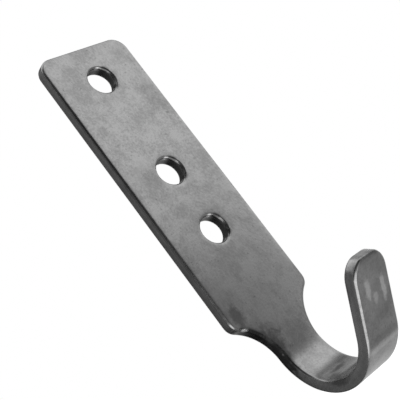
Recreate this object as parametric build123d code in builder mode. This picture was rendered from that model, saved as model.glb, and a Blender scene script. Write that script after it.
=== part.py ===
from build123d import *
from math import acos, cos, degrees, isclose, radians, sin
import os

# Screw-on strap hook: one strip of steel, stamped to its outline and bent once. Millimetres, +Z up.
# The origin is on the back face, midway between the two upper screw holes, so the wall is the plane Y = 0.
# The plate's front looks along -Y, and below the plate the strap sweeps forward, down and up again.

# Sheet
sheet_thickness = 2.2
front_edge_radius = 0.6  # the side that the punch rolled over
back_edge_radius = 0.3  # the burr side, tumbled smooth

# Plate
plate_width = 20.0
plate_corner_radius = 2.8
top_edge_above_hole = 7.4
upper_hole_spacing = 21.0  # top hole to middle hole
lower_hole_spacing = 12.9  # middle hole to bottom hole
straight_side_below_hole = 16.3  # bottom hole to the end of the plate's straight sides

# Screw holes
screw_hole_diameter = 5.3
hole_front_radius = 0.5
hole_back_chamfer = 0.2

# Shoulders, where the plate narrows to the strap
strap_width = 8.8
shoulder_hollow_radius = 8.7
shoulder_corner_radius = 2.1

# Hook
bend_inner_radius = 8.3
bend_angle = 145.7  # from straight down, past the bottom, to a tip that leans outward
tip_length = 12.7  # straight part beyond the bend
tip_corner_radius = 3.3

# Heights on the plate, from the top down
top_hole = upper_hole_spacing / 2
top_edge = top_hole + top_edge_above_hole
middle_hole = top_hole - upper_hole_spacing
bottom_hole = middle_hole - lower_hole_spacing
shoulder_corner = bottom_hole - straight_side_below_hole
shoulder_inset = (plate_width - strap_width) / 2
shoulder_turn = acos(1 - shoulder_inset / shoulder_hollow_radius)
shoulder_end = shoulder_corner - shoulder_hollow_radius * sin(shoulder_turn)

# The bend starts where the shoulders end. Its axis runs along X through this point of Y and Z.
bend_outer_radius = bend_inner_radius + sheet_thickness
bend_centre = (-bend_outer_radius, shoulder_end)
tip_lean = radians(180 - bend_angle)
tip_plane = Plane((0, *bend_centre), z_dir=(0, -cos(tip_lean), -sin(tip_lean)))  # parallel to the tip's faces
FRONT, BACK = 0, -1  # places in a list sorted along Y


def skin(plate_side, bend_radius, tip_side):
    """The plate, bend and tip faces on one side of the sheet."""
    plate = hook.faces().filter_by(Axis.Y).sort_by(Axis.Y)[plate_side]
    rolled = hook.faces().filter_by(GeomType.CYLINDER).filter_by(lambda face: isclose(face.radius, bend_radius))
    bend = rolled.filter_by(lambda face: face.axis_of_rotation.is_parallel(Axis.X))[0]
    tip = hook.faces().filter_by(tip_plane).sort_by(Axis.Y)[tip_side]
    return ShapeList([plate, bend, tip])


def rim(faces):
    """The outline of a run of faces: every outer edge but the bend lines, which two of them share."""
    edges = ShapeList(edge for face in faces for edge in face.outer_wire().edges())
    return edges.filter_by(lambda edge: sum(edge.is_same(other) for other in edges) == 1)


with BuildPart() as hook:
    # Side view of the bent strip: the back surface from the plate's top to the tip, and the thickness
    with BuildSketch(Plane.YZ) as side_view:
        with BuildLine() as back_surface:
            plate_line = Line((0, top_edge), (0, shoulder_end))
            bend_line = CenterArc(bend_centre, bend_outer_radius, 0, -bend_angle)
            PolarLine(bend_line @ 1, tip_length, direction=bend_line % 1)
            offset(amount=sheet_thickness, side=Side.RIGHT)
        make_face()
    extrude(amount=strap_width / 2, both=True)

    # Front view of the plate, whose hollow shoulders run into the strap
    with BuildSketch(Plane.XZ) as front_view:
        with BuildLine() as outline:
            top = Line((0, top_edge), (plate_width / 2, top_edge))
            side = Line(top @ 1, (plate_width / 2, shoulder_corner))
            hollow = CenterArc(
                (strap_width / 2 + shoulder_hollow_radius, shoulder_end),
                shoulder_hollow_radius,
                180 - degrees(shoulder_turn),
                degrees(shoulder_turn),
            )
            Line(hollow @ 1, (0, shoulder_end))
            mirror(about=Plane.YZ)
        make_face()
        fillet(front_view.vertices().group_by(Axis.Y)[-1], plate_corner_radius)
        corners = front_view.vertices().filter_by(lambda vertex: isclose(vertex.Y, shoulder_corner))
        fillet(corners, shoulder_corner_radius)
    extrude(amount=sheet_thickness)

    # Rounded end of the tip
    tip_end = hook.faces().filter_by(GeomType.PLANE).sort_by(Axis.Y)[0]
    tip_corners = tip_end.edges().sort_by(Axis.X)
    fillet([tip_corners[0], tip_corners[-1]], tip_corner_radius)

    # Screw holes
    with BuildSketch(Plane.XZ) as holes:
        with Locations((0, top_hole), (0, middle_hole), (0, bottom_hole)):
            Circle(screw_hole_diameter / 2)
    extrude(amount=sheet_thickness, mode=Mode.SUBTRACT)

    # Hole rims, rounded in front and eased behind, then the rounded outline of each side of the sheet
    fillet(skin(FRONT, bend_inner_radius, BACK)[0].inner_wires().edges(), hole_front_radius)
    chamfer(skin(BACK, bend_outer_radius, FRONT)[0].inner_wires().edges(), hole_back_chamfer)
    fillet(rim(skin(FRONT, bend_inner_radius, BACK)), front_edge_radius)
    fillet(rim(skin(BACK, bend_outer_radius, FRONT)), back_edge_radius)

os.makedirs("parts", exist_ok=True)
hook.part.label = "hook"
export_step(hook.part, "parts/hook.step")
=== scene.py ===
from functools import reduce
from math import acos, atan2, ceil, degrees, radians, sin, sqrt

import bpy
import numpy as np
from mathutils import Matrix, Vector


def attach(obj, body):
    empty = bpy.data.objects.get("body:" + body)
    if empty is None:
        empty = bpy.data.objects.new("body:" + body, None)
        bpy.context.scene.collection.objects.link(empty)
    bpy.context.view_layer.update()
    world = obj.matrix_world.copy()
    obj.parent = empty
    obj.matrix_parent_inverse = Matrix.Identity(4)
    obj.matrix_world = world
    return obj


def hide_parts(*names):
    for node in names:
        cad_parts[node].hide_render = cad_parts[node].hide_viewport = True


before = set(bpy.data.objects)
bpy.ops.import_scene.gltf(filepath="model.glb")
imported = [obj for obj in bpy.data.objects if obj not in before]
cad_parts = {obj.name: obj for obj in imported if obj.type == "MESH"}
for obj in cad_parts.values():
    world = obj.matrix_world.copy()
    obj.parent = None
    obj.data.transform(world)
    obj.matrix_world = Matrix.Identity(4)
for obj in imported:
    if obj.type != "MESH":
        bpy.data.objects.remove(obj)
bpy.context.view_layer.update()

bl_info = {
    "name": "Strap Hook",
    "version": (1, 0, 0),
    "blender": (4, 5, 0),
    "location": "View3D > Sidebar > Strap Hook",
    "description": "Stamps and bends a steel strap hook, and sets the stage that it is seen on",
    "category": "Object",
}

MM = 0.001

# The blank
HOLES = (10.5, -10.5, -23.4)  # heights of the screw holes in millimetres, as in the CAD
HOLE_HEIGHTS = tuple(height * MM for height in HOLES)
PLATE_CELL = 0.8 * MM  # longest cell down the plate's sides
STRAP_CELL = 0.38 * MM  # longest cell down the strap's sides, which are bent
PLATE_CORNER_CELLS = 10  # along the outline's arcs, from the top down
SHOULDER_CORNER_CELLS = 9
SHOULDER_HOLLOW_CELLS = 26
TIP_CORNER_CELLS = 14
BLOCK_CELLS = 16  # cells along each side of the square round a screw hole
MARGIN_CELLS = 4  # cells from that square to where the flat of the face ends
FRONT_EDGE_CELLS = 8  # round a front edge or a hole's front rim
BACK_EDGE_CELLS = 5  # round those behind
FACE_MARGIN = 1.25 * MM  # how far in from an edge the flat of a face starts
BACK_ROW = 0.2 * MM  # from a back edge's rounding to the first row of the flat behind
HOLE_ROW = 0.55  # place of a row between a hole's square and its margin, as a share of the way
SAME_HEIGHT = 0.01 * MM  # two heights nearer than this are one
ROUNDING_CUT = 0.7  # share of the cut wall's look that its roundings take on beside it
ROUNDING_BORE = 0.6  # share of the bore's painted shade and roughness that a hole's rubbed rim takes on
FEWEST_FACES = 1000  # a formed hook with fewer has gone wrong

# The steel. Scales are in features per metre
NOISE_SWING = (0.3, 0.7)  # values that a noise seldom leaves
CLOUD_RISE = (0.36, 0.66)  # noise values at which a cloud starts and is full
CLOUD_ROUGHNESS = (-0.02, 0.03)  # what clean and clouded steel add to the roughness
PIT_RISE = (0.66, 0.76)  # noise values at which a pit starts and is full
PIT_SCALE = 0.8  # as a share of the grain's
PATCH_FADE = (0.35, 1.0)  # shares of a patch's reach at which it starts to fade and is gone
RAGGED_SCALE = 900  # of the borders of the painted shade, painted highlights and marks
RAGGED_REACH = 0.25  # of those borders in and out, as a share of the patch's reach
SHEAR_SCALE = 5000  # of the shear marks on the punched walls
SHEAR_STRETCH = 0.12  # how slowly they change through the sheet
TORN_DEPTHS = (-1.5 * MM, -0.9 * MM)  # between these the wall turns from cut to torn

# Painted shade, painted highlights and marks on the flat strip in millimetres, whose front is at y = -2.2:
# centre, reach each way, strength
# Darker patches, most of them painted shade where the steel mirrors dark surroundings
SHADE_AND_STAINS = (
    ((0.0, 0.0, -71.0), (7.0, 0.9, 0.9), 0.2),  # painted shade across the outside, where the bend ends
    ((1.0, 0.0, -74.3), (3.4, 0.9, 1.6), 0.14),  # painted shade on the tip's outside, between the bend and the lighter marks
    ((2.8, 0.0, -81.9), (1.6, 0.9, 2.2), 0.12),  # and painted shade between those and the tip's end
    ((-7.75, -2.2, -38.1), (1.8, 0.8, 3.1), 0.58),  # painted shade by the left shoulder
    ((-5.6, -1.8, -45.6), (4.8, 1.6, 5.6), 0.7),  # painted shade down the left side of the strap
    ((-8.6, -2.2, -34.0), (4.0, 0.8, 7.0), 0.16),  # painted shade low on the plate, to the left
    ((0.4, -2.2, -46.4), (4.4, 0.8, 3.6), 0.14),  # painted shade where the bend starts
    ((3.0, -2.2, -55.7), (2.6, 0.9, 0.7), 0.3),  # three marks of painted shade across the bend, from its right side
    ((0.2, -2.2, -56.8), (2.6, 0.9, 0.8), 0.6),
    ((-2.9, -2.2, -58.4), (2.6, 0.9, 1.8), 0.6),
    ((-4.4, -2.0, -60.8), (2.4, 1.2, 3.4), 0.6),  # painted shade where that line turns down the side
    ((10.1, -1.8, -18.5), (0.7, 1.2, 5.4), 0.5),  # a painted dark line on the right edge
    ((7.8, -2.2, 4.4), (2.4, 0.8, 6.0), 0.22),  # between the top hole and the right edge
    ((7.9, -2.2, -0.1), (0.5, 0.8, 0.4), 0.4),  # two small spots in that stain
    ((8.6, -2.2, 4.4), (0.45, 0.8, 0.5), 0.4),
    ((-5.6, -2.2, -9.5), (4.0, 0.8, 3.6), 0.14),  # beside the middle hole
    ((-1.0, -2.2, -31.2), (1.0, 0.8, 1.6), 0.16),  # two faint marks below the bottom hole
    ((-2.4, -2.2, -32.8), (1.0, 0.8, 1.4), 0.16),
)
# Painted shade on the punched edges and walls, where the steel mirrors dark surroundings
EDGE_PAINTED_SHADE = (
    ((-10.2, -1.95, -12.0), (0.9, 0.5, 46.0), 0.45),  # painted shade along the left edge, just behind the rolled rim
    ((-7.2, -1.1, -42.8), (4.4, 3.2, 5.0), 0.96),  # painted shade on the left shoulder's wall
    ((-4.8, -1.1, -47.8), (3.0, 3.2, 5.6), 0.96),  # and on the strap's left wall
    *(((1.9, -1.0, hole - 1.5), (1.6, 2.0, 2.1), 0.95) for hole in HOLES),  # painted shade, low in each hole
    *(((2.1, -2.0, hole + 1.9), (1.1, 1.2, 1.0), 0.8) for hole in HOLES),  # and painted shade on the rim above it, dimming its highlight
    ((0.2, 0.0, -84.6), (5.0, 0.6, 2.6), 0.6),  # painted shade round the tip's outer rim
)
# Painted highlights where the steel mirrors bright surroundings, and a few lighter marks
PAINTED_HIGHLIGHTS_AND_MARKS = (
    ((-8.3, -2.05, -40.8), (1.1, 0.5, 0.48), 1.0),  # a painted highlight on the left shoulder's rim
    *(((0.95, -1.85, hole + 2.72), (0.75, 0.45, 0.45), 0.6) for hole in HOLES),  # painted highlights on the holes' upper rims
    ((0.0, 0.0, -78.6), (5.5, 0.9, 6.0), 0.07),  # all over the tip's outside
    ((-0.6, -1.1, -84.5), (3.8, 1.2, 1.8), 0.25),  # a painted highlight on the tip's end
    ((-2.3, 0.0, -81.8), (1.8, 0.9, 1.5), 0.08),  # on its outside, near the end, to the left
    ((0.0, 0.0, -69.8), (7.0, 0.9, 0.8), 0.2),  # a painted highlight across the bend's outside, beside the dark line there
    ((-1.75, 0.0, -79.4), (1.2, 0.9, 2.4), 0.6),  # three lighter marks on the tip
    ((-0.1, 0.0, -77.3), (1.0, 0.9, 1.3), 0.42),
    ((2.38, 0.0, -78.3), (0.85, 0.9, 3.0), 0.6),
    ((-4.7, -1.9, -47.6), (0.25, 0.6, 0.5), 0.7),  # a painted highlight on the strap's left edge
)

# The stage. Cards round the hook, in degrees: name, azimuths (0 in front, 90 to the right), elevations,
# softness in from the sides and from the bottom and top, and the greys of the bottom and the top, where
# more than 1 is brighter than white. A card all round has no sides, and one at a pole no border there.
CARDS = (
    ("card_front", (-104, 35), (-10, 36), (16, 8), (0.18, 0.0)),
    ("card_front_low", (-24, 20), (-30, 2), (10, 8), (0.25, 0.25)),
    ("card_front_high", (-96, 32), (22, 74), (14, 12), (0.03, 0.3)),
    ("card_left", (-132, -92), (-40, 56), (8, 10), (0.34, 0.14)),
    ("card_behind_left", (-190, -120), (-30, 60), (8, 10), (0.08, 0.26)),
    ("card_below_left", (-190, -116), (-80, -8), (8, 12), (0.0, 0.06)),
    ("card_behind", (122, 184), (-18, 34), (8, 10), (0.15, 0.15)),
    ("card_behind_high", (144, 190), (26, 64), (8, 8), (0.06, 0.06)),
    ("card_right_high", (64, 112), (30, 74), (22, 7), (0.3, 0.3)),
    ("card_back_high", (96, 138), (22, 66), (8, 8), (0.42, 0.42)),
    ("card_horizon", (-5, 56), (-34, 20), (16, 22), (0.34, 0.27)),
    ("card_horizon_right", (44, 86), (-34, 8), (10, 14), (0.35, 0.35)),
    ("card_right_low", (90, 128), (5, 16), (6, 3), (0.1, 0.1)),
    ("card_low_right", (36, 92), (-66, -22), (2, 10), (0.34, 0.4)),
    ("card_low_left", (-112, -14), (-70, -4), (12, 8), (1.5, 1.5)),
    ("card_low_front", (-20, 40), (-66, -34), (12, 8), (1.8, 1.8)),
    ("card_top", (-180, 180), (58, 90), (0, 12), (1.0, 1.0)),
    ("card_ground", (-180, 180), (-90, -4), (0, 1), (0.62, 0.62)),  # hides the bright floor from the steel
)
CARD_DISTANCE = 0.2  # of the nearest card; the others stand one step behind each other
CARD_STEP = 0.005
CARD_COLUMNS, CARD_ROWS = 41, 21  # points across a card and up it
# A flag left of the hook and in front, in millimetres: bottom and top, and x, y and grey along its plan
FLAG_HEIGHTS = (-110, -47)
FLAG_PLAN = ((-16, 20, 0.03), (-16, 9, 0.2), (-16, -16, 0.24), (-5.6, -16, 0.22))
HOOK_MIDDLE = Vector((0, -0.01, -0.02))  # what the cards stand round and the lamp points at
FLOOR_SIDE = 8.0
LAMP_PLACE = (60, 78, 1.2)  # azimuth, elevation and distance from the hook
LAMP_SIZE = 1.0
# The camera at the photograph's angle: focal length on a 36 mm sensor, place, and turn in degrees
FOCAL_LENGTH = 83.016
CAMERA_PLACE = (-0.104701, -0.120644, -0.047342)
CAMERA_TURN = (103.179, 36.4562, -33.8925)


# What a user would change


def size_property(name, description, millimetres):
    """A size stated in millimetres and kept in metres."""
    return bpy.props.FloatProperty(
        name=name, description=description, default=millimetres * MM, subtype="DISTANCE", unit="LENGTH",
        precision=5)


def angle_property(name, description, turn):
    """An angle stated in degrees and kept in radians."""
    return bpy.props.FloatProperty(
        name=name, description=description, default=radians(turn), subtype="ANGLE", unit="ROTATION")


def share_property(name, description, default, lowest=0.0, highest=1.0):
    """A share of something else."""
    return bpy.props.FloatProperty(
        name=name, description=description, default=default, min=lowest, max=highest, subtype="FACTOR")


def grey_property(name, description, value):
    """A colour that starts as a grey."""
    return bpy.props.FloatVectorProperty(
        name=name, description=description, default=(value, value, value), subtype="COLOR", min=0, max=1)


class HookSizes(bpy.types.PropertyGroup):
    """The strip as it is stamped, and how it is bent."""
    thickness: size_property("Sheet thickness", "Thickness of the steel strip", 2.2)
    top_edge: size_property("Top edge", "Height of the plate's top edge", 17.9)
    plate_width: size_property("Plate width", "Width of the plate", 20.0)
    shoulder_height: size_property(
        "Shoulder height", "Height at which the plate's straight sides end", -39.72)
    shoulder_corner: size_property(
        "Shoulder corner radius", "Radius where a side turns into its shoulder", 2.2)
    shoulder_hollow: size_property(
        "Shoulder hollow radius", "Radius of the hollow that runs into the strap", 9.0)
    plate_corner: size_property("Plate corner radius", "Radius of the plate's top corners", 2.8)
    strap_width: size_property("Strap width", "Width of the strap where it leaves the shoulders", 9.1)
    tip_corner: size_property("Tip corner radius", "Radius of the corners at the strap's end", 3.4)
    hole_diameter: size_property("Screw hole diameter", "Diameter of the three screw holes", 5.3)
    front_edge: size_property("Front edge radius", "Rounding of the edge that the punch pulled over", 0.38)
    hole_edge: size_property("Hole edge radius", "Rounding of a screw hole's rim in front", 0.5)
    back_edge: size_property("Back edge radius", "Rounding of the tumbled burr side", 0.4)
    pull_down: size_property("Pull-down", "Depth to which the punch drew the face down at its edges", 0.05)
    plate_flare: share_property(
        "Plate flare", "Width of the plate at its shoulders, as a share of its top's", 1.012, 0.9, 1.1)
    tip_taper: share_property(
        "Tip taper", "Width of the strap at its tip, as a share of its start's", 0.92, 0.5, 1.2)
    bend_height: size_property("Bend height", "Height at which the strap starts to bend", -47.72)
    first_radius: size_property("First bend radius", "Inner radius where the bend starts", 8.56)
    first_angle: angle_property("First bend angle", "Angle turned at the first radius", 33.8)
    second_radius: size_property("Second bend radius", "Inner radius of the rest of the bend", 8.22)
    second_angle: angle_property("Second bend angle", "Angle turned at the second radius", 111.9)
    tip_length: size_property("Tip length", "Straight part of the strap beyond the bend", 12.84)


class HookFinish(bpy.types.PropertyGroup):
    """The look of the tumbled steel."""
    steel: grey_property("Steel", "Colour of the clean steel", 0.42)
    clouded: grey_property("Clouded steel", "Colour where the tumbling left a darker bloom", 0.31)
    # Painted shade: the colour towards which shade patches, edges and screw holes darken, as the pits and
    # torn wall do
    shade_stain_colour: grey_property("Stained steel", "Colour under oil and scale", 0.06)
    # Painted highlights: the colour towards which the highlights and lighter marks brighten the steel
    highlight_colour: grey_property("Burnished steel", "Colour where parts rubbed the steel bright", 0.9)
    roughness: share_property("Roughness", "Roughness of the tumbled faces", 0.18)
    wall_roughness: share_property(
        "Wall roughness", "What a punched wall adds to the roughness, twice in a screw hole", 0.1)
    cloud_size: size_property("Cloud size", "Size of the tumbling's clouds", 3.4)
    grain_size: size_property("Grain size", "Size of the fine grain and pits", 0.42)
    grain_height: size_property("Grain height", "Height of the fine grain and the shear marks", 0.008)
    mottle: share_property("Mottle", "How far the fine grain breaks up the clouds", 0.38)
    pit_stain: share_property("Pit stain", "How dark the pits are", 0.3)
    torn_stain: share_property(
        "Torn wall stain", "How much darker the torn part of the punched wall is", 0.18)
    # Painted shade that darkens the screw holes' walls and rims
    bore_painted_shade: share_property(
        "Bore stain", "How far oil and scale darken the screw holes' walls", 0.85)


class StageSettings(bpy.types.PropertyGroup):
    """What the hook is seen on and lit by."""
    floor_height: size_property("Floor height", "Height of the floor's top", -350)
    floor_colour: grey_property("Floor colour", "Colour of the pale floor", 0.85)
    floor_glow: bpy.props.FloatProperty(
        name="Floor glow", description="What makes the floor look white, without lighting the hook",
        default=0.6, min=0)
    room_light: bpy.props.FloatProperty(
        name="Room light", description="Light from all sides on what isn't glossy", default=0.7, min=0)
    lamp_power: bpy.props.FloatProperty(
        name="Lamp power", description="Power of the lamp above", default=2.5, min=0, unit="POWER")


# Meshes and objects


def new_mesh(name, points, faces, masks=None):
    """A mesh that keeps numbers for its points as named attributes."""
    mesh = bpy.data.meshes.new(name)
    mesh.from_pydata(points, [], faces)
    for mask, values in (masks or {}).items():
        layer = mesh.attributes.new(mask, "FLOAT", "POINT")
        layer.data.foreach_set("value", np.asarray(values, np.float32))
    return mesh


def new_object(name, data):
    """An object in the scene's own collection."""
    item = bpy.data.objects.new(name, data)
    bpy.context.scene.collection.objects.link(item)
    return item


# The stamped blank


def arc(centre, radius, start, end, cells, hollow=False):
    """Stations along an arc of the outline, the first left out: rows of x, z, outward x, outward z."""
    turns = np.radians(np.linspace(start, end, cells + 1)[1:])
    outward = np.stack([np.cos(turns), np.sin(turns)], 1)
    points = np.asarray(centre) + radius * outward
    return np.hstack([points, -outward if hollow else outward])


def side_run(x, top, bottom, cells):
    """Stations down a straight side, the first left out."""
    return np.array([(x, z, 1.0, 0.0) for z in np.linspace(top, bottom, cells + 1)[1:]])


def cells_down(top, bottom, longest):
    """How many cells of at most that length a straight side takes."""
    return max(1, ceil((top - bottom) / longest))


def bend_lengths(sizes):
    """Length of strip that each part of the bend takes up."""
    half = sizes.thickness / 2
    return (
        (sizes.first_radius + half) * sizes.first_angle,
        (sizes.second_radius + half) * sizes.second_angle,
    )


def tip_height(sizes):
    """Height of the tip's end on the flat blank."""
    return sizes.bend_height - sum(bend_lengths(sizes)) - sizes.tip_length


def shoulder_line(sizes):
    """Height at which the hollow shoulders end and the strap starts."""
    inset = (sizes.plate_width - sizes.strap_width) / 2
    return sizes.shoulder_height - sizes.shoulder_hollow * sin(acos(1 - inset / sizes.shoulder_hollow))


def block_reach(sizes):
    """Half the side of the square round a screw hole, which ends where the top corners start."""
    return sizes.top_edge - sizes.plate_corner - HOLE_HEIGHTS[0]


def right_side(sizes):
    """Stations down the right side of the flat blank, from the top edge's end to the tip's."""
    wide, narrow = sizes.plate_width / 2, sizes.strap_width / 2
    corner, hollow, tip = sizes.shoulder_corner, sizes.shoulder_hollow, sizes.tip_corner
    strap_start = shoulder_line(sizes)
    across = narrow + hollow - (wide - corner)  # from the corner's centre to the hollow's
    up = sqrt((hollow + corner) ** 2 - across ** 2)
    turn = degrees(atan2(-up, across))
    plate_end = strap_start + up
    tip_start = tip_height(sizes) + tip
    block = block_reach(sizes)
    z = sizes.top_edge - sizes.plate_corner
    runs = [
        np.array([(wide - sizes.plate_corner, sizes.top_edge, 0.0, 1.0)]),
        arc((wide - sizes.plate_corner, z), sizes.plate_corner, 90, 0, PLATE_CORNER_CELLS),
    ]
    for hole in HOLE_HEIGHTS:
        if z - hole - block > SAME_HEIGHT:
            runs.append(side_run(wide, z, hole + block, cells_down(z, hole + block, PLATE_CELL)))
        runs.append(side_run(wide, hole + block, hole - block, BLOCK_CELLS))
        z = hole - block
    runs += [
        side_run(wide, z, plate_end, cells_down(z, plate_end, PLATE_CELL)),
        arc((wide - corner, plate_end), corner, 0, turn, SHOULDER_CORNER_CELLS),
        arc((narrow + hollow, strap_start), hollow, 180 + turn, 180, SHOULDER_HOLLOW_CELLS, hollow=True),
        side_run(narrow, strap_start, tip_start, cells_down(strap_start, tip_start, STRAP_CELL)),
        arc((narrow - tip, tip_start), tip, 0, -90, TIP_CORNER_CELLS),
    ]
    return np.vstack(runs)


def quarter_turn(cells):
    """Angles from 0 to a quarter turn."""
    return np.radians(np.linspace(0, 90, cells + 1))


def edge_profile(sizes, front_radius, back_radius):
    """Section through a punched edge, from front to back: inset, depth, and shares of cut wall and rub.

    The front is pulled down and rolled over, the wall is sheared, and the burr behind is worn round."""
    thickness = sizes.thickness

    def pulled(inset):
        return sizes.pull_down * ((FACE_MARGIN - inset) / FACE_MARGIN) ** 2

    rows = [(FACE_MARGIN, 0, 0, 0)]
    for share in (0.66, 0.33):
        inset = front_radius + (FACE_MARGIN - front_radius) * share
        rows.append((inset, pulled(inset), 0, 0))
    for turn in quarter_turn(FRONT_EDGE_CELLS):
        inset = front_radius * (1 - np.sin(turn))
        depth = front_radius * (1 - np.cos(turn)) + pulled(inset)
        rows.append((inset, depth, ROUNDING_CUT * np.sin(turn) ** 4, np.sin(turn)))
    start, end = rows[-1][1], thickness - back_radius
    for share in (0.25, 0.5, 0.75):
        rows.append((0, start + (end - start) * share, 1, 0))
    for turn in quarter_turn(BACK_EDGE_CELLS):
        inset, depth = back_radius * (1 - np.cos(turn)), end + back_radius * np.sin(turn)
        rows.append((inset, depth, ROUNDING_CUT * np.cos(turn) ** 4, np.cos(turn)))
    rows += [(back_radius + BACK_ROW, thickness, 0, 0), (FACE_MARGIN, thickness, 0, 0)]
    profile = np.array(rows)
    profile[:, 1] -= thickness  # the front is at -thickness and the back at 0
    return profile


def rim_share(inset, front_radius):
    """1 on a punched edge, fading to 0 where the flat of the face starts."""
    return min(max((FACE_MARGIN - inset) / (FACE_MARGIN - front_radius), 0.0), 1.0) ** 2


def at_depth(x, z, depth):
    """Points of the flat strip that all lie at one depth."""
    return np.stack([x, np.full_like(x, depth), z], -1)


class Blank:
    """Collects the flat blank's points, faces and edge masks."""
    MASKS = ("cut", "rub", "bore", "rim")

    def __init__(self):
        self.points, self.masks, self.faces = [], [], []
        self.count = 0

    def add(self, points, cut=0.0, rub=0.0, bore=0.0, rim=0.0):
        """Adds a row or grid of points and returns their numbers in the same shape."""
        numbers = self.count + np.arange(points[..., 0].size).reshape(points.shape[:-1])
        self.points.append(points.reshape(-1, 3))
        self.masks.append(np.tile((cut, rub, bore, rim), (numbers.size, 1)))
        self.count += numbers.size
        return numbers

    def quads(self, *corners):
        """Adds faces, given as four arrays of point numbers."""
        self.faces.append(np.stack([np.ravel(corner) for corner in corners], 1))

    def bridge(self, rings, inward=False):
        """Joins closed rings that run clockwise as seen from the front."""
        for ring, after in zip(rings, rings[1:]):
            ring_next, after_next = np.roll(ring, -1), np.roll(after, -1)
            if inward:
                self.quads(ring, after, after_next, ring_next)
            else:
                self.quads(ring, ring_next, after_next, after)

    def mesh(self, name):
        """The smooth mesh of all faces, without the points that no face uses."""
        points, masks, faces = np.vstack(self.points), np.vstack(self.masks), np.vstack(self.faces)
        used, renumbered = np.unique(faces, return_inverse=True)
        mesh = new_mesh(
            name, points[used].tolist(), renumbered.reshape(faces.shape).tolist(),
            dict(zip(self.MASKS, masks[used].T)))
        mesh.polygons.foreach_set("use_smooth", [True] * len(mesh.polygons))
        if mesh.validate(verbose=True):
            raise RuntimeError("the blank had faces that Blender had to mend")
        return mesh


def columns(sizes):
    """Places of the columns across a face's flat, from -1 to 1, with the holes' squares in the middle."""
    square = block_reach(sizes) / (sizes.plate_width / 2 - FACE_MARGIN)
    right = np.linspace(square, 1, MARGIN_CELLS + 1)[1:]
    return np.concatenate([-right[::-1], np.linspace(-square, square, BLOCK_CELLS + 1), right])


def square_loop(first_row, last_row, first_column, last_column):
    """Rows and columns of a rectangle's border, clockwise from its top left corner."""
    across = np.arange(first_column, last_column)
    down = np.arange(first_row, last_row)
    rows = np.concatenate([
        np.full(across.size, first_row), down, np.full(across.size, last_row), down[::-1] + 1])
    cols = np.concatenate([
        across, np.full(down.size, last_column), across[::-1] + 1, np.full(down.size, first_column)])
    return rows, cols


def edge_rings(blank, sizes, side, places, rows, cols):
    """Rings of points that round the outline off in front and behind, with the wall between."""
    x, z, outward_x, outward_z = side[rows].T
    at_side = (cols == 0) | (cols == len(places) - 1)  # and not on the top edge or the tip's end
    sign = np.where(cols == 0, -1.0, 1.0)
    x = x * np.where(at_side, sign, places[cols])
    outward_x = np.where(at_side, outward_x * sign, 0.0)
    return [
        blank.add(
            at_depth(x - inset * outward_x, z - inset * outward_z, depth), cut, rub,
            rim=rim_share(inset, sizes.front_edge))
        for inset, depth, cut, rub in edge_profile(sizes, sizes.front_edge, sizes.back_edge)[1:-1]
    ]


def hole_rings(blank, sizes, square, height):
    """Rings of points from the square round a screw hole, through the hole, to the square behind."""
    radius = sizes.hole_diameter / 2
    turns = np.radians(135 - np.arange(len(square)) * 360 / len(square))
    outward = np.stack([np.cos(turns), np.sin(turns)], 1)

    def ring(inset, depth, cut=0.0, rub=0.0, share=1.0):
        flat = square * (1 - share) + (radius + inset) * outward * share
        points = at_depth(flat[:, 0], flat[:, 1] + height, depth)
        return blank.add(points, cut, rub, max(cut, ROUNDING_BORE * rub), rim_share(inset, sizes.hole_edge))

    return [
        ring(FACE_MARGIN, -sizes.thickness, share=HOLE_ROW),
        *(ring(*row) for row in edge_profile(sizes, sizes.hole_edge, sizes.back_edge / 2)),
        ring(FACE_MARGIN, 0.0, share=HOLE_ROW),
    ]


def stamp_blank(sizes):
    """The flat strip with its outline, rounded edges and punched holes."""
    blank = Blank()
    side, places = right_side(sizes), columns(sizes)
    last_row, last_column = len(side) - 1, len(places) - 1
    flat_side = side[:, :2] - FACE_MARGIN * side[:, 2:]
    flat_x = flat_side[:, :1] * places
    flat_z = np.repeat(flat_side[:, 1:], len(places), 1)
    front = blank.add(at_depth(flat_x, flat_z, -sizes.thickness))
    back = blank.add(at_depth(flat_x, flat_z, 0))

    border = square_loop(0, last_row, 0, last_column)
    blank.bridge([front[border], *edge_rings(blank, sizes, side, places, *border), back[border]])

    keep = np.ones((last_row, last_column), bool)
    right = MARGIN_CELLS + BLOCK_CELLS
    for height in HOLE_HEIGHTS:
        top = int(np.argmin(np.abs(flat_side[:, 1] - (height + block_reach(sizes)))))
        keep[top:top + BLOCK_CELLS, MARGIN_CELLS:right] = False
        border = square_loop(top, top + BLOCK_CELLS, MARGIN_CELLS, right)
        square = np.stack([flat_x[border], flat_z[border] - height], 1)
        blank.bridge([front[border], *hole_rings(blank, sizes, square, height), back[border]], inward=True)

    for numbers, towards_front in ((front, True), (back, False)):
        a, b = numbers[:-1, :-1][keep], numbers[:-1, 1:][keep]
        c, d = numbers[1:, 1:][keep], numbers[1:, :-1][keep]
        blank.quads(*((a, d, c, b) if towards_front else (a, b, c, d)))
    return blank.mesh("hook")


# Nodes


def feed(tree, sockets, values):
    """Gives each socket its value, which is a plain one or another socket to link to."""
    for socket, value in zip(sockets, values):
        if isinstance(value, bpy.types.NodeSocket):
            tree.links.new(value, socket)
        else:
            socket.default_value = value


def add_node(tree, kind, inputs=None, **settings):
    """A node with its settings, and inputs given as name: value or socket."""
    node = tree.nodes.new(kind)
    for name, value in settings.items():
        setattr(node, name, value)
    inputs = inputs or {}
    feed(tree, [node.inputs[name] for name in inputs], inputs.values())
    return node


def maths(tree, operation, *values):
    """A Math node's result."""
    node = add_node(tree, "ShaderNodeMath", operation=operation)
    feed(tree, node.inputs, values)
    return node.outputs[0]


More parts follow.
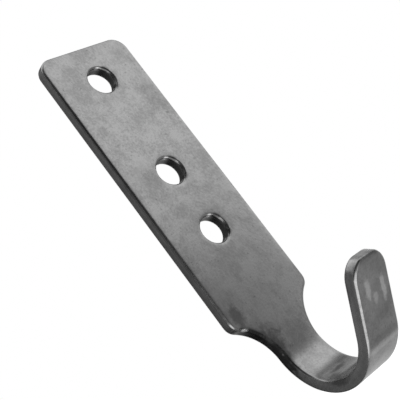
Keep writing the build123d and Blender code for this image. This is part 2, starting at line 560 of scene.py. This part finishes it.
def vector_maths(tree, operation, *values):
    """A Vector Math node's result."""
    node = add_node(tree, "ShaderNodeVectorMath", operation=operation)
    feed(tree, node.inputs, values)
    return node.outputs["Value" if operation == "LENGTH" else "Vector"]


def map_range(tree, value, from_min, from_max, to_min, to_max, smooth=False):
    """A clamped Map Range node's result."""
    node = add_node(
        tree, "ShaderNodeMapRange", clamp=True, interpolation_type="SMOOTHSTEP" if smooth else "LINEAR")
    feed(tree, node.inputs, (value, from_min, from_max, to_min, to_max))
    return node.outputs[0]


def node_group(name, kind, inputs, outputs):
    """A node group with sockets given as name: type, its inputs' sockets and its outputs' sockets."""
    tree = bpy.data.node_groups.new(name, kind)
    for sockets, way in ((inputs, "INPUT"), (outputs, "OUTPUT")):
        for label, socket_type in sockets.items():
            tree.interface.new_socket(label, in_out=way, socket_type=socket_type)
    return tree, tree.nodes.new("NodeGroupInput").outputs, tree.nodes.new("NodeGroupOutput").inputs


# The bend, as geometry nodes


def roll_group():
    """Rolls the strip forward below a line. What lies beyond the roll turns with it unchanged."""
    shape, number = "NodeSocketGeometry", "NodeSocketFloat"
    tree, given, made = node_group("Roll Strip Forward", "GeometryNodeTree", {
        "Geometry": shape, "Flat Height": number, "Line Height": number, "Inner Radius": number,
        "Angle": number, "Sheet Thickness": number}, {"Geometry": shape})
    line, angle, thickness = given["Line Height"], given["Angle"], given["Sheet Thickness"]
    mid_radius = maths(tree, "ADD", given["Inner Radius"], maths(tree, "MULTIPLY", thickness, 0.5))
    taken = maths(tree, "MULTIPLY", mid_radius, angle)
    line_end = maths(tree, "SUBTRACT", line, taken)
    share = map_range(tree, given["Flat Height"], line, line_end, 0.0, 1.0)

    # What was rolled comes back up to the line, and turns about the roll's axis
    rise = add_node(tree, "ShaderNodeCombineXYZ", {"Z": maths(tree, "MULTIPLY", share, taken)})
    position = tree.nodes.new("GeometryNodeInputPosition").outputs["Position"]
    raised = vector_maths(tree, "ADD", position, rise.outputs[0])
    outer_radius = maths(tree, "ADD", given["Inner Radius"], thickness)
    axis = add_node(tree, "ShaderNodeCombineXYZ", {
        "Y": maths(tree, "MULTIPLY", outer_radius, -1.0), "Z": line})
    turn = maths(tree, "MULTIPLY", maths(tree, "MULTIPLY", share, angle), -1.0)
    turned = add_node(
        tree, "ShaderNodeVectorRotate", {"Vector": raised, "Center": axis.outputs[0], "Angle": turn},
        rotation_type="X_AXIS")
    placed = add_node(
        tree, "GeometryNodeSetPosition", {"Geometry": given["Geometry"], "Position": turned.outputs[0]})
    tree.links.new(placed.outputs["Geometry"], made["Geometry"])
    return tree


def forming_tree():
    """Tapers the flat blank, keeps its flat place as an attribute, and rolls it into the hook."""
    shape, number = "NodeSocketGeometry", "NodeSocketFloat"
    tree, given, made = node_group("Form Strap Hook", "GeometryNodeTree", {
        "Geometry": shape, "Sheet Thickness": number, "Top Height": number, "Shoulder Height": number,
        "Tip Height": number, "Plate Flare": number, "Tip Taper": number, "Bend Height": number,
        "First Radius": number, "First Angle": number, "Second Radius": number, "Second Angle": number,
        "Second Height": number, "Material": "NodeSocketMaterial"}, {"Geometry": shape})

    # Flat place, kept for the material and for the rolls
    position = tree.nodes.new("GeometryNodeInputPosition").outputs["Position"]
    stored = add_node(
        tree, "GeometryNodeStoreNamedAttribute", data_type="FLOAT_VECTOR", domain="POINT",
        inputs={"Geometry": given["Geometry"], "Name": "flat", "Value": position})
    kept = add_node(tree, "GeometryNodeInputNamedAttribute", {"Name": "flat"}, data_type="FLOAT_VECTOR")
    flat = kept.outputs["Attribute"]
    height = add_node(tree, "ShaderNodeSeparateXYZ", {"Vector": flat}).outputs["Z"]

    # Taper: the plate flares down to the shoulders, and the strap narrows down to the tip
    shoulders, flare = given["Shoulder Height"], given["Plate Flare"]
    flared = map_range(tree, height, given["Top Height"], shoulders, 1.0, flare)
    unflared = map_range(tree, height, shoulders, given["Bend Height"], flare, 1.0)
    narrowed = map_range(tree, height, shoulders, given["Tip Height"], 1.0, given["Tip Taper"])
    width = maths(tree, "MULTIPLY", maths(tree, "MINIMUM", flared, unflared), narrowed)
    scale = add_node(tree, "ShaderNodeCombineXYZ", {"X": width, "Y": 1.0, "Z": 1.0})
    tapered = add_node(tree, "GeometryNodeSetPosition", {
        "Geometry": stored.outputs["Geometry"],
        "Position": vector_maths(tree, "MULTIPLY", flat, scale.outputs[0])})

    # The far roll first, while the strip before it is still flat
    roll, work = roll_group(), tapered
    for line, radius, angle in (
        ("Second Height", "Second Radius", "Second Angle"), ("Bend Height", "First Radius", "First Angle")):
        work = add_node(tree, "GeometryNodeGroup", node_tree=roll, inputs={
            "Geometry": work.outputs["Geometry"], "Flat Height": height, "Line Height": given[line],
            "Inner Radius": given[radius], "Angle": given[angle],
            "Sheet Thickness": given["Sheet Thickness"]})

    real = add_node(tree, "GeometryNodeRealizeInstances", {"Geometry": work.outputs["Geometry"]})
    coated = add_node(tree, "GeometryNodeSetMaterial", {
        "Geometry": real.outputs["Geometry"], "Material": given["Material"]})
    tree.links.new(coated.outputs["Geometry"], made["Geometry"])
    return tree


def set_inputs(modifier, values):
    """Sets a node modifier's inputs through their socket identifiers."""
    for item in modifier.node_group.interface.items_tree:
        if item.item_type == "SOCKET" and item.in_out == "INPUT" and item.name in values:
            modifier[item.identifier] = values[item.name]


def finished_mesh(item):
    """The object's mesh with its modifiers worked out, and the modifiers gone."""
    bpy.context.view_layer.update()
    evaluated = item.evaluated_get(bpy.context.evaluated_depsgraph_get())
    mesh = bpy.data.meshes.new_from_object(evaluated)
    item.modifiers.clear()
    blank, item.data = item.data, mesh
    bpy.data.meshes.remove(blank)
    mesh.name = item.name
    return mesh


# Steel


def attribute(tree, name, output="Fac"):
    """What the mesh keeps under a name."""
    return add_node(tree, "ShaderNodeAttribute", attribute_name=name).outputs[output]


def noise(tree, place, scale, detail, roughness):
    """A Noise Texture's value at a place, with features of about 1 / scale."""
    return add_node(tree, "ShaderNodeTexNoise", {
        "Vector": place, "Scale": scale, "Detail": detail, "Roughness": roughness}).outputs["Fac"]


def strongest(tree, masks):
    """The largest of several masks at each place."""
    return reduce(lambda most, mask: maths(tree, "MAXIMUM", most, mask), masks)


def towards(tree, colour, other, share):
    """A colour taken by a share of the way to another. Each is a socket or three numbers."""
    ends = [end if isinstance(end, bpy.types.NodeSocket) else (*end, 1) for end in (colour, other)]
    mix = add_node(
        tree, "ShaderNodeMix", {"Factor": share, "A": ends[0], "B": ends[1]}, data_type="RGBA")
    return mix.outputs["Result"]


def soft_patch_group():
    """1 in the middle of an oval patch on the flat strip, fading to 0 at its ragged border."""
    vector, number = "NodeSocketVector", "NodeSocketFloat"
    tree, given, made = node_group("Soft Patch", "ShaderNodeTree", {
        "Flat Place": vector, "Centre": vector, "Reach": vector, "Ragged": number}, {"Mask": number})
    away = vector_maths(tree, "SUBTRACT", given["Flat Place"], given["Centre"])
    away = vector_maths(tree, "LENGTH", vector_maths(tree, "DIVIDE", away, given["Reach"]))
    away = maths(tree, "ADD", away, given["Ragged"])
    tree.links.new(map_range(tree, away, *PATCH_FADE, 1.0, 0.0, smooth=True), made["Mask"])
    return tree


def tumbling_group():
    """Marks of the tumbling barrel: broad clouds, darker pits, and the height of the fine grain."""
    number = "NodeSocketFloat"
    tree, given, made = node_group(
        "Tumbling Marks", "ShaderNodeTree",
        {"Place": "NodeSocketVector", "Cloud Size": number, "Grain Size": number, "Mottle": number},
        {"Clouds": number, "Pits": number, "Grain": number})
    place, mottle = given["Place"], given["Mottle"]
    cloud_scale = maths(tree, "DIVIDE", 1.0, given["Cloud Size"])
    grain_scale = maths(tree, "DIVIDE", 1.0, given["Grain Size"])
    bloom = noise(tree, place, cloud_scale, detail=4.0, roughness=0.6)
    clouds = map_range(tree, bloom, *CLOUD_RISE, 0.0, 1.0)
    grain = noise(tree, place, grain_scale, detail=2.0, roughness=0.6)
    broken = map_range(tree, grain, *NOISE_SWING, maths(tree, "MULTIPLY", mottle, -1.0), mottle)
    specks = noise(tree, place, maths(tree, "MULTIPLY", grain_scale, PIT_SCALE), detail=1.0, roughness=0.4)
    tree.links.new(maths(tree, "ADD", clouds, broken), made["Clouds"])
    tree.links.new(map_range(tree, specks, *PIT_RISE, 0.0, 1.0), made["Pits"])
    tree.links.new(grain, made["Grain"])
    return tree


def tumbled_steel(finish):
    """Grey steel from the tumbling barrel: clouded faces, fine pits, dull sheared walls and a few marks,
    with painted shade and painted highlights where the steel mirrors dark and bright surroundings.
    """
    material = bpy.data.materials.new("tumbled_steel")
    material.use_nodes = True
    tree = material.node_tree
    place = tree.nodes.new("ShaderNodeTexCoord").outputs["Object"]
    flat = attribute(tree, "flat", "Vector")
    cut, bore, rim = (attribute(tree, name) for name in ("cut", "bore", "rim"))
    border = noise(tree, place, RAGGED_SCALE, detail=3.0, roughness=0.6)
    ragged = map_range(tree, border, *NOISE_SWING, -RAGGED_REACH, RAGGED_REACH)
    patch = soft_patch_group()

    def marked(marks):
        """The strongest of a list of patches at each place: painted shade, painted highlights and a few
        marks.
        """
        masks = []
        for centre, reach, strength in marks:
            oval = add_node(tree, "ShaderNodeGroup", node_tree=patch, inputs={
                "Flat Place": flat, "Centre": [v * MM for v in centre], "Reach": [v * MM for v in reach],
                "Ragged": ragged})
            masks.append(maths(tree, "MULTIPLY", oval.outputs["Mask"], strength))
        return strongest(tree, masks)

    # Colour
    tumbling = add_node(tree, "ShaderNodeGroup", node_tree=tumbling_group(), inputs={
        "Place": place, "Cloud Size": finish.cloud_size, "Grain Size": finish.grain_size,
        "Mottle": finish.mottle}).outputs
    depth = add_node(tree, "ShaderNodeSeparateXYZ", {"Vector": flat}).outputs["Y"]
    torn = maths(tree, "MULTIPLY", map_range(tree, depth, *TORN_DEPTHS, 0.0, 1.0, smooth=True), cut)
    # Painted shade: the shade patches, the bore and the edges darken the steel, as the pits and the torn
    # wall do
    shade_and_stain = strongest(tree, (
        marked(SHADE_AND_STAINS),
        maths(tree, "MULTIPLY", bore, finish.bore_painted_shade),
        maths(tree, "MULTIPLY", marked(EDGE_PAINTED_SHADE), maths(tree, "MAXIMUM", cut, rim)),
        maths(tree, "MULTIPLY", tumbling["Pits"], finish.pit_stain),
        maths(tree, "MULTIPLY", torn, finish.torn_stain),
    ))
    colour = towards(tree, finish.steel, finish.clouded, tumbling["Clouds"])
    colour = towards(tree, colour, finish.shade_stain_colour, shade_and_stain)
    # Painted highlights, and a few lighter marks, brighten it
    colour = towards(tree, colour, finish.highlight_colour, marked(PAINTED_HIGHLIGHTS_AND_MARKS))

    # Roughness
    rough = map_range(
        tree, tumbling["Clouds"], 0.0, 1.0, *(finish.roughness + change for change in CLOUD_ROUGHNESS))
    for wall in (cut, bore):
        rough = maths(tree, "ADD", rough, maths(tree, "MULTIPLY", wall, finish.wall_roughness))

    # Fine grain on the faces, and shear marks through the thickness on the punched walls
    along = vector_maths(tree, "MULTIPLY", flat, (1.0, SHEAR_STRETCH, 1.0))
    shear = noise(tree, along, SHEAR_SCALE, detail=2.0, roughness=0.5)
    height = maths(tree, "ADD", tumbling["Grain"], maths(tree, "MULTIPLY", shear, cut))
    bump = add_node(tree, "ShaderNodeBump", {
        "Strength": 1.0, "Distance": finish.grain_height, "Height": height})

    shader = tree.nodes["Principled BSDF"].inputs
    shader["Metallic"].default_value = 1.0
    tree.links.new(colour, shader["Base Color"])
    tree.links.new(rough, shader["Roughness"])
    tree.links.new(bump.outputs["Normal"], shader["Normal"])
    return material


class HOOK_OT_form(bpy.types.Operator):
    """Stamp the blank, bend it into the hook and finish it"""
    bl_idname = "strap_hook.form"
    bl_label = "Form the Hook"

    def execute(self, context):
        sizes, finish = context.scene.hook_sizes, context.scene.hook_finish
        hook = new_object("strap_hook", stamp_blank(sizes))
        forming = hook.modifiers.new("Forming", "NODES")
        forming.node_group = forming_tree()
        set_inputs(forming, {
            "Sheet Thickness": sizes.thickness,
            "Top Height": sizes.top_edge,
            "Shoulder Height": sizes.shoulder_height,
            "Tip Height": tip_height(sizes),
            "Plate Flare": sizes.plate_flare,
            "Tip Taper": sizes.tip_taper,
            "Bend Height": sizes.bend_height,
            "First Radius": sizes.first_radius,
            "First Angle": sizes.first_angle,
            "Second Radius": sizes.second_radius,
            "Second Angle": sizes.second_angle,
            "Second Height": sizes.bend_height - bend_lengths(sizes)[0],
            "Material": tumbled_steel(finish),
        })
        mesh = finished_mesh(hook)
        if len(mesh.polygons) < FEWEST_FACES:
            raise RuntimeError("the hook came out of its forming nodes without a mesh")
        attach(hook, "root")
        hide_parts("hook")
        return {"FINISHED"}


# Stage


def around(azimuth, elevation, distance):
    """A point seen from the hook at that azimuth (0 in front, 90 to the right) and elevation."""
    turn, rise = radians(azimuth), radians(elevation)
    flat = np.cos(rise) * distance
    return HOOK_MIDDLE + Vector((flat * np.sin(turn), -flat * np.cos(turn), distance * np.sin(rise)))


def background_share(tree):
    """1 on rays that should see the plain white background: camera, glossy and transmission rays."""
    path = tree.nodes.new("ShaderNodeLightPath").outputs
    rays = ("Is Camera Ray", "Is Glossy Ray", "Is Transmission Ray")
    return strongest(tree, [path[ray] for ray in rays])


def inward_fade(angles, softness, first_fades, last_fades):
    """0 at each end of a run of angles that fades, and 1 from the softness inwards."""
    inwards = angles - angles[0] if first_fades else np.full(len(angles), np.inf)
    if last_fades:
        inwards = np.minimum(inwards, angles[-1] - angles)
    share = np.clip(inwards / max(softness, 1e-6), 0, 1)
    return share * share * (3 - 2 * share)


def card_mesh(name, azimuths, elevations, softness, greys, distance):
    """A curved card round the hook, opaque in the middle and fading out towards its border."""
    turns, rises = np.linspace(*azimuths, CARD_COLUMNS), np.linspace(*elevations, CARD_ROWS)
    has_sides = azimuths[1] - azimuths[0] < 360
    fade = np.outer(
        inward_fade(rises, softness[1], elevations[0] > -90, elevations[1] < 90),
        inward_fade(turns, softness[0], has_sides, has_sides))
    points = [around(turn, rise, distance) for rise in rises for turn in turns]
    numbers = np.arange(len(points)).reshape(CARD_ROWS, CARD_COLUMNS)
    faces = np.stack([numbers[:-1, :-1], numbers[:-1, 1:], numbers[1:, 1:], numbers[1:, :-1]], -1)
    return new_mesh(name, points, faces.reshape(-1, 4).tolist(), {
        "fade": fade.ravel(), "grey": np.repeat(np.linspace(*greys, CARD_ROWS), CARD_COLUMNS)})


def flag_mesh(name, heights, plan):
    """An upright flag that darkens what the edge beside it mirrors."""
    points = [(x * MM, y * MM, height * MM) for x, y, _ in plan for height in heights]
    greys = [grey for _, _, grey in plan for _ in heights]
    faces = [(first, first + 2, first + 3, first + 1) for first in range(0, len(points) - 2, 2)]
    return new_mesh(name, points, faces, {"fade": [1.0] * len(points), "grey": greys})


def card_material():
    """Glows in a card's own grey, and is clear where the card fades out."""
    material = bpy.data.materials.new("soft_card")
    material.use_nodes = True
    tree = material.node_tree
    tree.nodes.clear()
    glow = add_node(tree, "ShaderNodeEmission", {"Strength": attribute(tree, "grey")})
    clear = tree.nodes.new("ShaderNodeBsdfTransparent")
    mix = tree.nodes.new("ShaderNodeMixShader")
    feed(tree, mix.inputs, (attribute(tree, "fade"), clear.outputs[0], glow.outputs[0]))
    add_node(tree, "ShaderNodeOutputMaterial", {"Surface": mix.outputs[0]})
    return material


class HOOK_OT_stage(bpy.types.Operator):
    """Set the white room, the floor, the cards that the steel mirrors, the lamp and the camera"""
    bl_idname = "strap_hook.stage"
    bl_label = "Set the Stage"

    def execute(self, context):
        scene, settings = context.scene, context.scene.hook_stage
        self.white_room(scene, settings)
        self.floor(settings)
        self.cards()
        self.lamp(settings)
        self.camera(scene)
        scene.view_settings.view_transform = "Standard"
        return {"FINISHED"}

    def white_room(self, scene, settings):
        """A world that is seen white and gives its own light to what isn't glossy."""
        scene.world = world = bpy.data.worlds.new("white_room")
        world.use_nodes = True
        tree = world.node_tree
        room = tree.nodes["Background"].inputs
        room["Color"].default_value = (1, 1, 1, 1)
        strength = map_range(tree, background_share(tree), 0.0, 1.0, settings.room_light, 1.0)
        tree.links.new(strength, room["Strength"])

    def floor(self, settings):
        """A plain pale floor that keeps the hook's shadow."""
        reach = FLOOR_SIDE / 2
        corners = [(-reach, -reach, 0), (reach, -reach, 0), (reach, reach, 0), (-reach, reach, 0)]
        floor = new_object("floor", new_mesh("floor", corners, [(0, 1, 2, 3)]))
        floor.location = (0, 0, settings.floor_height)
        material = bpy.data.materials.new("pale_floor")
        material.use_nodes = True
        tree = material.node_tree
        shader = tree.nodes["Principled BSDF"].inputs
        shader["Base Color"].default_value = (*settings.floor_colour, 1)
        shader["Roughness"].default_value = 0.9
        shader["Specular IOR Level"].default_value = 0.0
        shader["Emission Color"].default_value = (1, 1, 1, 1)
        glow = maths(tree, "MULTIPLY", background_share(tree), settings.floor_glow)
        tree.links.new(glow, shader["Emission Strength"])
        floor.data.materials.append(material)

    def cards(self):
        """Grey cards with soft edges and a flag, out of the camera's sight, which the steel mirrors."""
        meshes = [
            card_mesh(*card, CARD_DISTANCE + CARD_STEP * number) for number, card in enumerate(CARDS)]
        material = card_material()
        for mesh in (*meshes, flag_mesh("flag_left", FLAG_HEIGHTS, FLAG_PLAN)):
            mesh.materials.append(material)
            card = new_object(mesh.name, mesh)
            card.visible_camera = False
            card.visible_diffuse = False
            card.visible_shadow = False

    def lamp(self, settings):
        """A soft round lamp above, towards the right, that the steel doesn't mirror."""
        light = bpy.data.lights.new("lamp_top", "AREA")
        light.shape = "DISK"
        light.size = LAMP_SIZE
        light.energy = settings.lamp_power
        lamp = new_object("lamp_top", light)
        lamp.visible_glossy = False
        place = around(*LAMP_PLACE)
        lamp.location = place
        lamp.rotation_euler = (HOOK_MIDDLE - place).to_track_quat("-Z", "Y").to_euler()

    def camera(self, scene):
        """The camera that sees the hook as the photograph does."""
        lens = bpy.data.cameras.new("camera")
        lens.sensor_width = 36
        lens.lens = FOCAL_LENGTH
        lens.clip_start = 0.01
        scene.camera = camera = new_object("camera", lens)
        camera.location = CAMERA_PLACE
        camera.rotation_euler = [radians(turn) for turn in CAMERA_TURN]


class HOOK_PT_panel(bpy.types.Panel):
    """Sizes, finish and stage of the strap hook"""
    bl_idname = "HOOK_PT_panel"
    bl_label = "Strap Hook"
    bl_space_type = "VIEW_3D"
    bl_region_type = "UI"
    bl_category = "Strap Hook"

    def draw(self, context):
        scene = context.scene
        for title, group in (
            ("Sizes", scene.hook_sizes), ("Finish", scene.hook_finish), ("Stage", scene.hook_stage)):
            box = self.layout.box()
            box.label(text=title)
            for name in group.bl_rna.properties.keys():
                if name not in {"rna_type", "name"}:
                    box.prop(group, name)
        self.layout.operator(HOOK_OT_form.bl_idname)
        self.layout.operator(HOOK_OT_stage.bl_idname)


CLASSES = (HookSizes, HookFinish, StageSettings, HOOK_OT_form, HOOK_OT_stage, HOOK_PT_panel)


def register():
    """Makes the operators, the panel and the scene's settings known to Blender."""
    for cls in CLASSES:
        bpy.utils.register_class(cls)
    bpy.types.Scene.hook_sizes = bpy.props.PointerProperty(type=HookSizes)
    bpy.types.Scene.hook_finish = bpy.props.PointerProperty(type=HookFinish)
    bpy.types.Scene.hook_stage = bpy.props.PointerProperty(type=StageSettings)


def unregister():
    """Takes them away again."""
    del bpy.types.Scene.hook_stage
    del bpy.types.Scene.hook_finish
    del bpy.types.Scene.hook_sizes
    for cls in reversed(CLASSES):
        bpy.utils.unregister_class(cls)


def main():
    """Makes the hook and its stage."""
    register()
    bpy.ops.strap_hook.form()
    bpy.ops.strap_hook.stage()


if __name__ == "__main__":
    main()
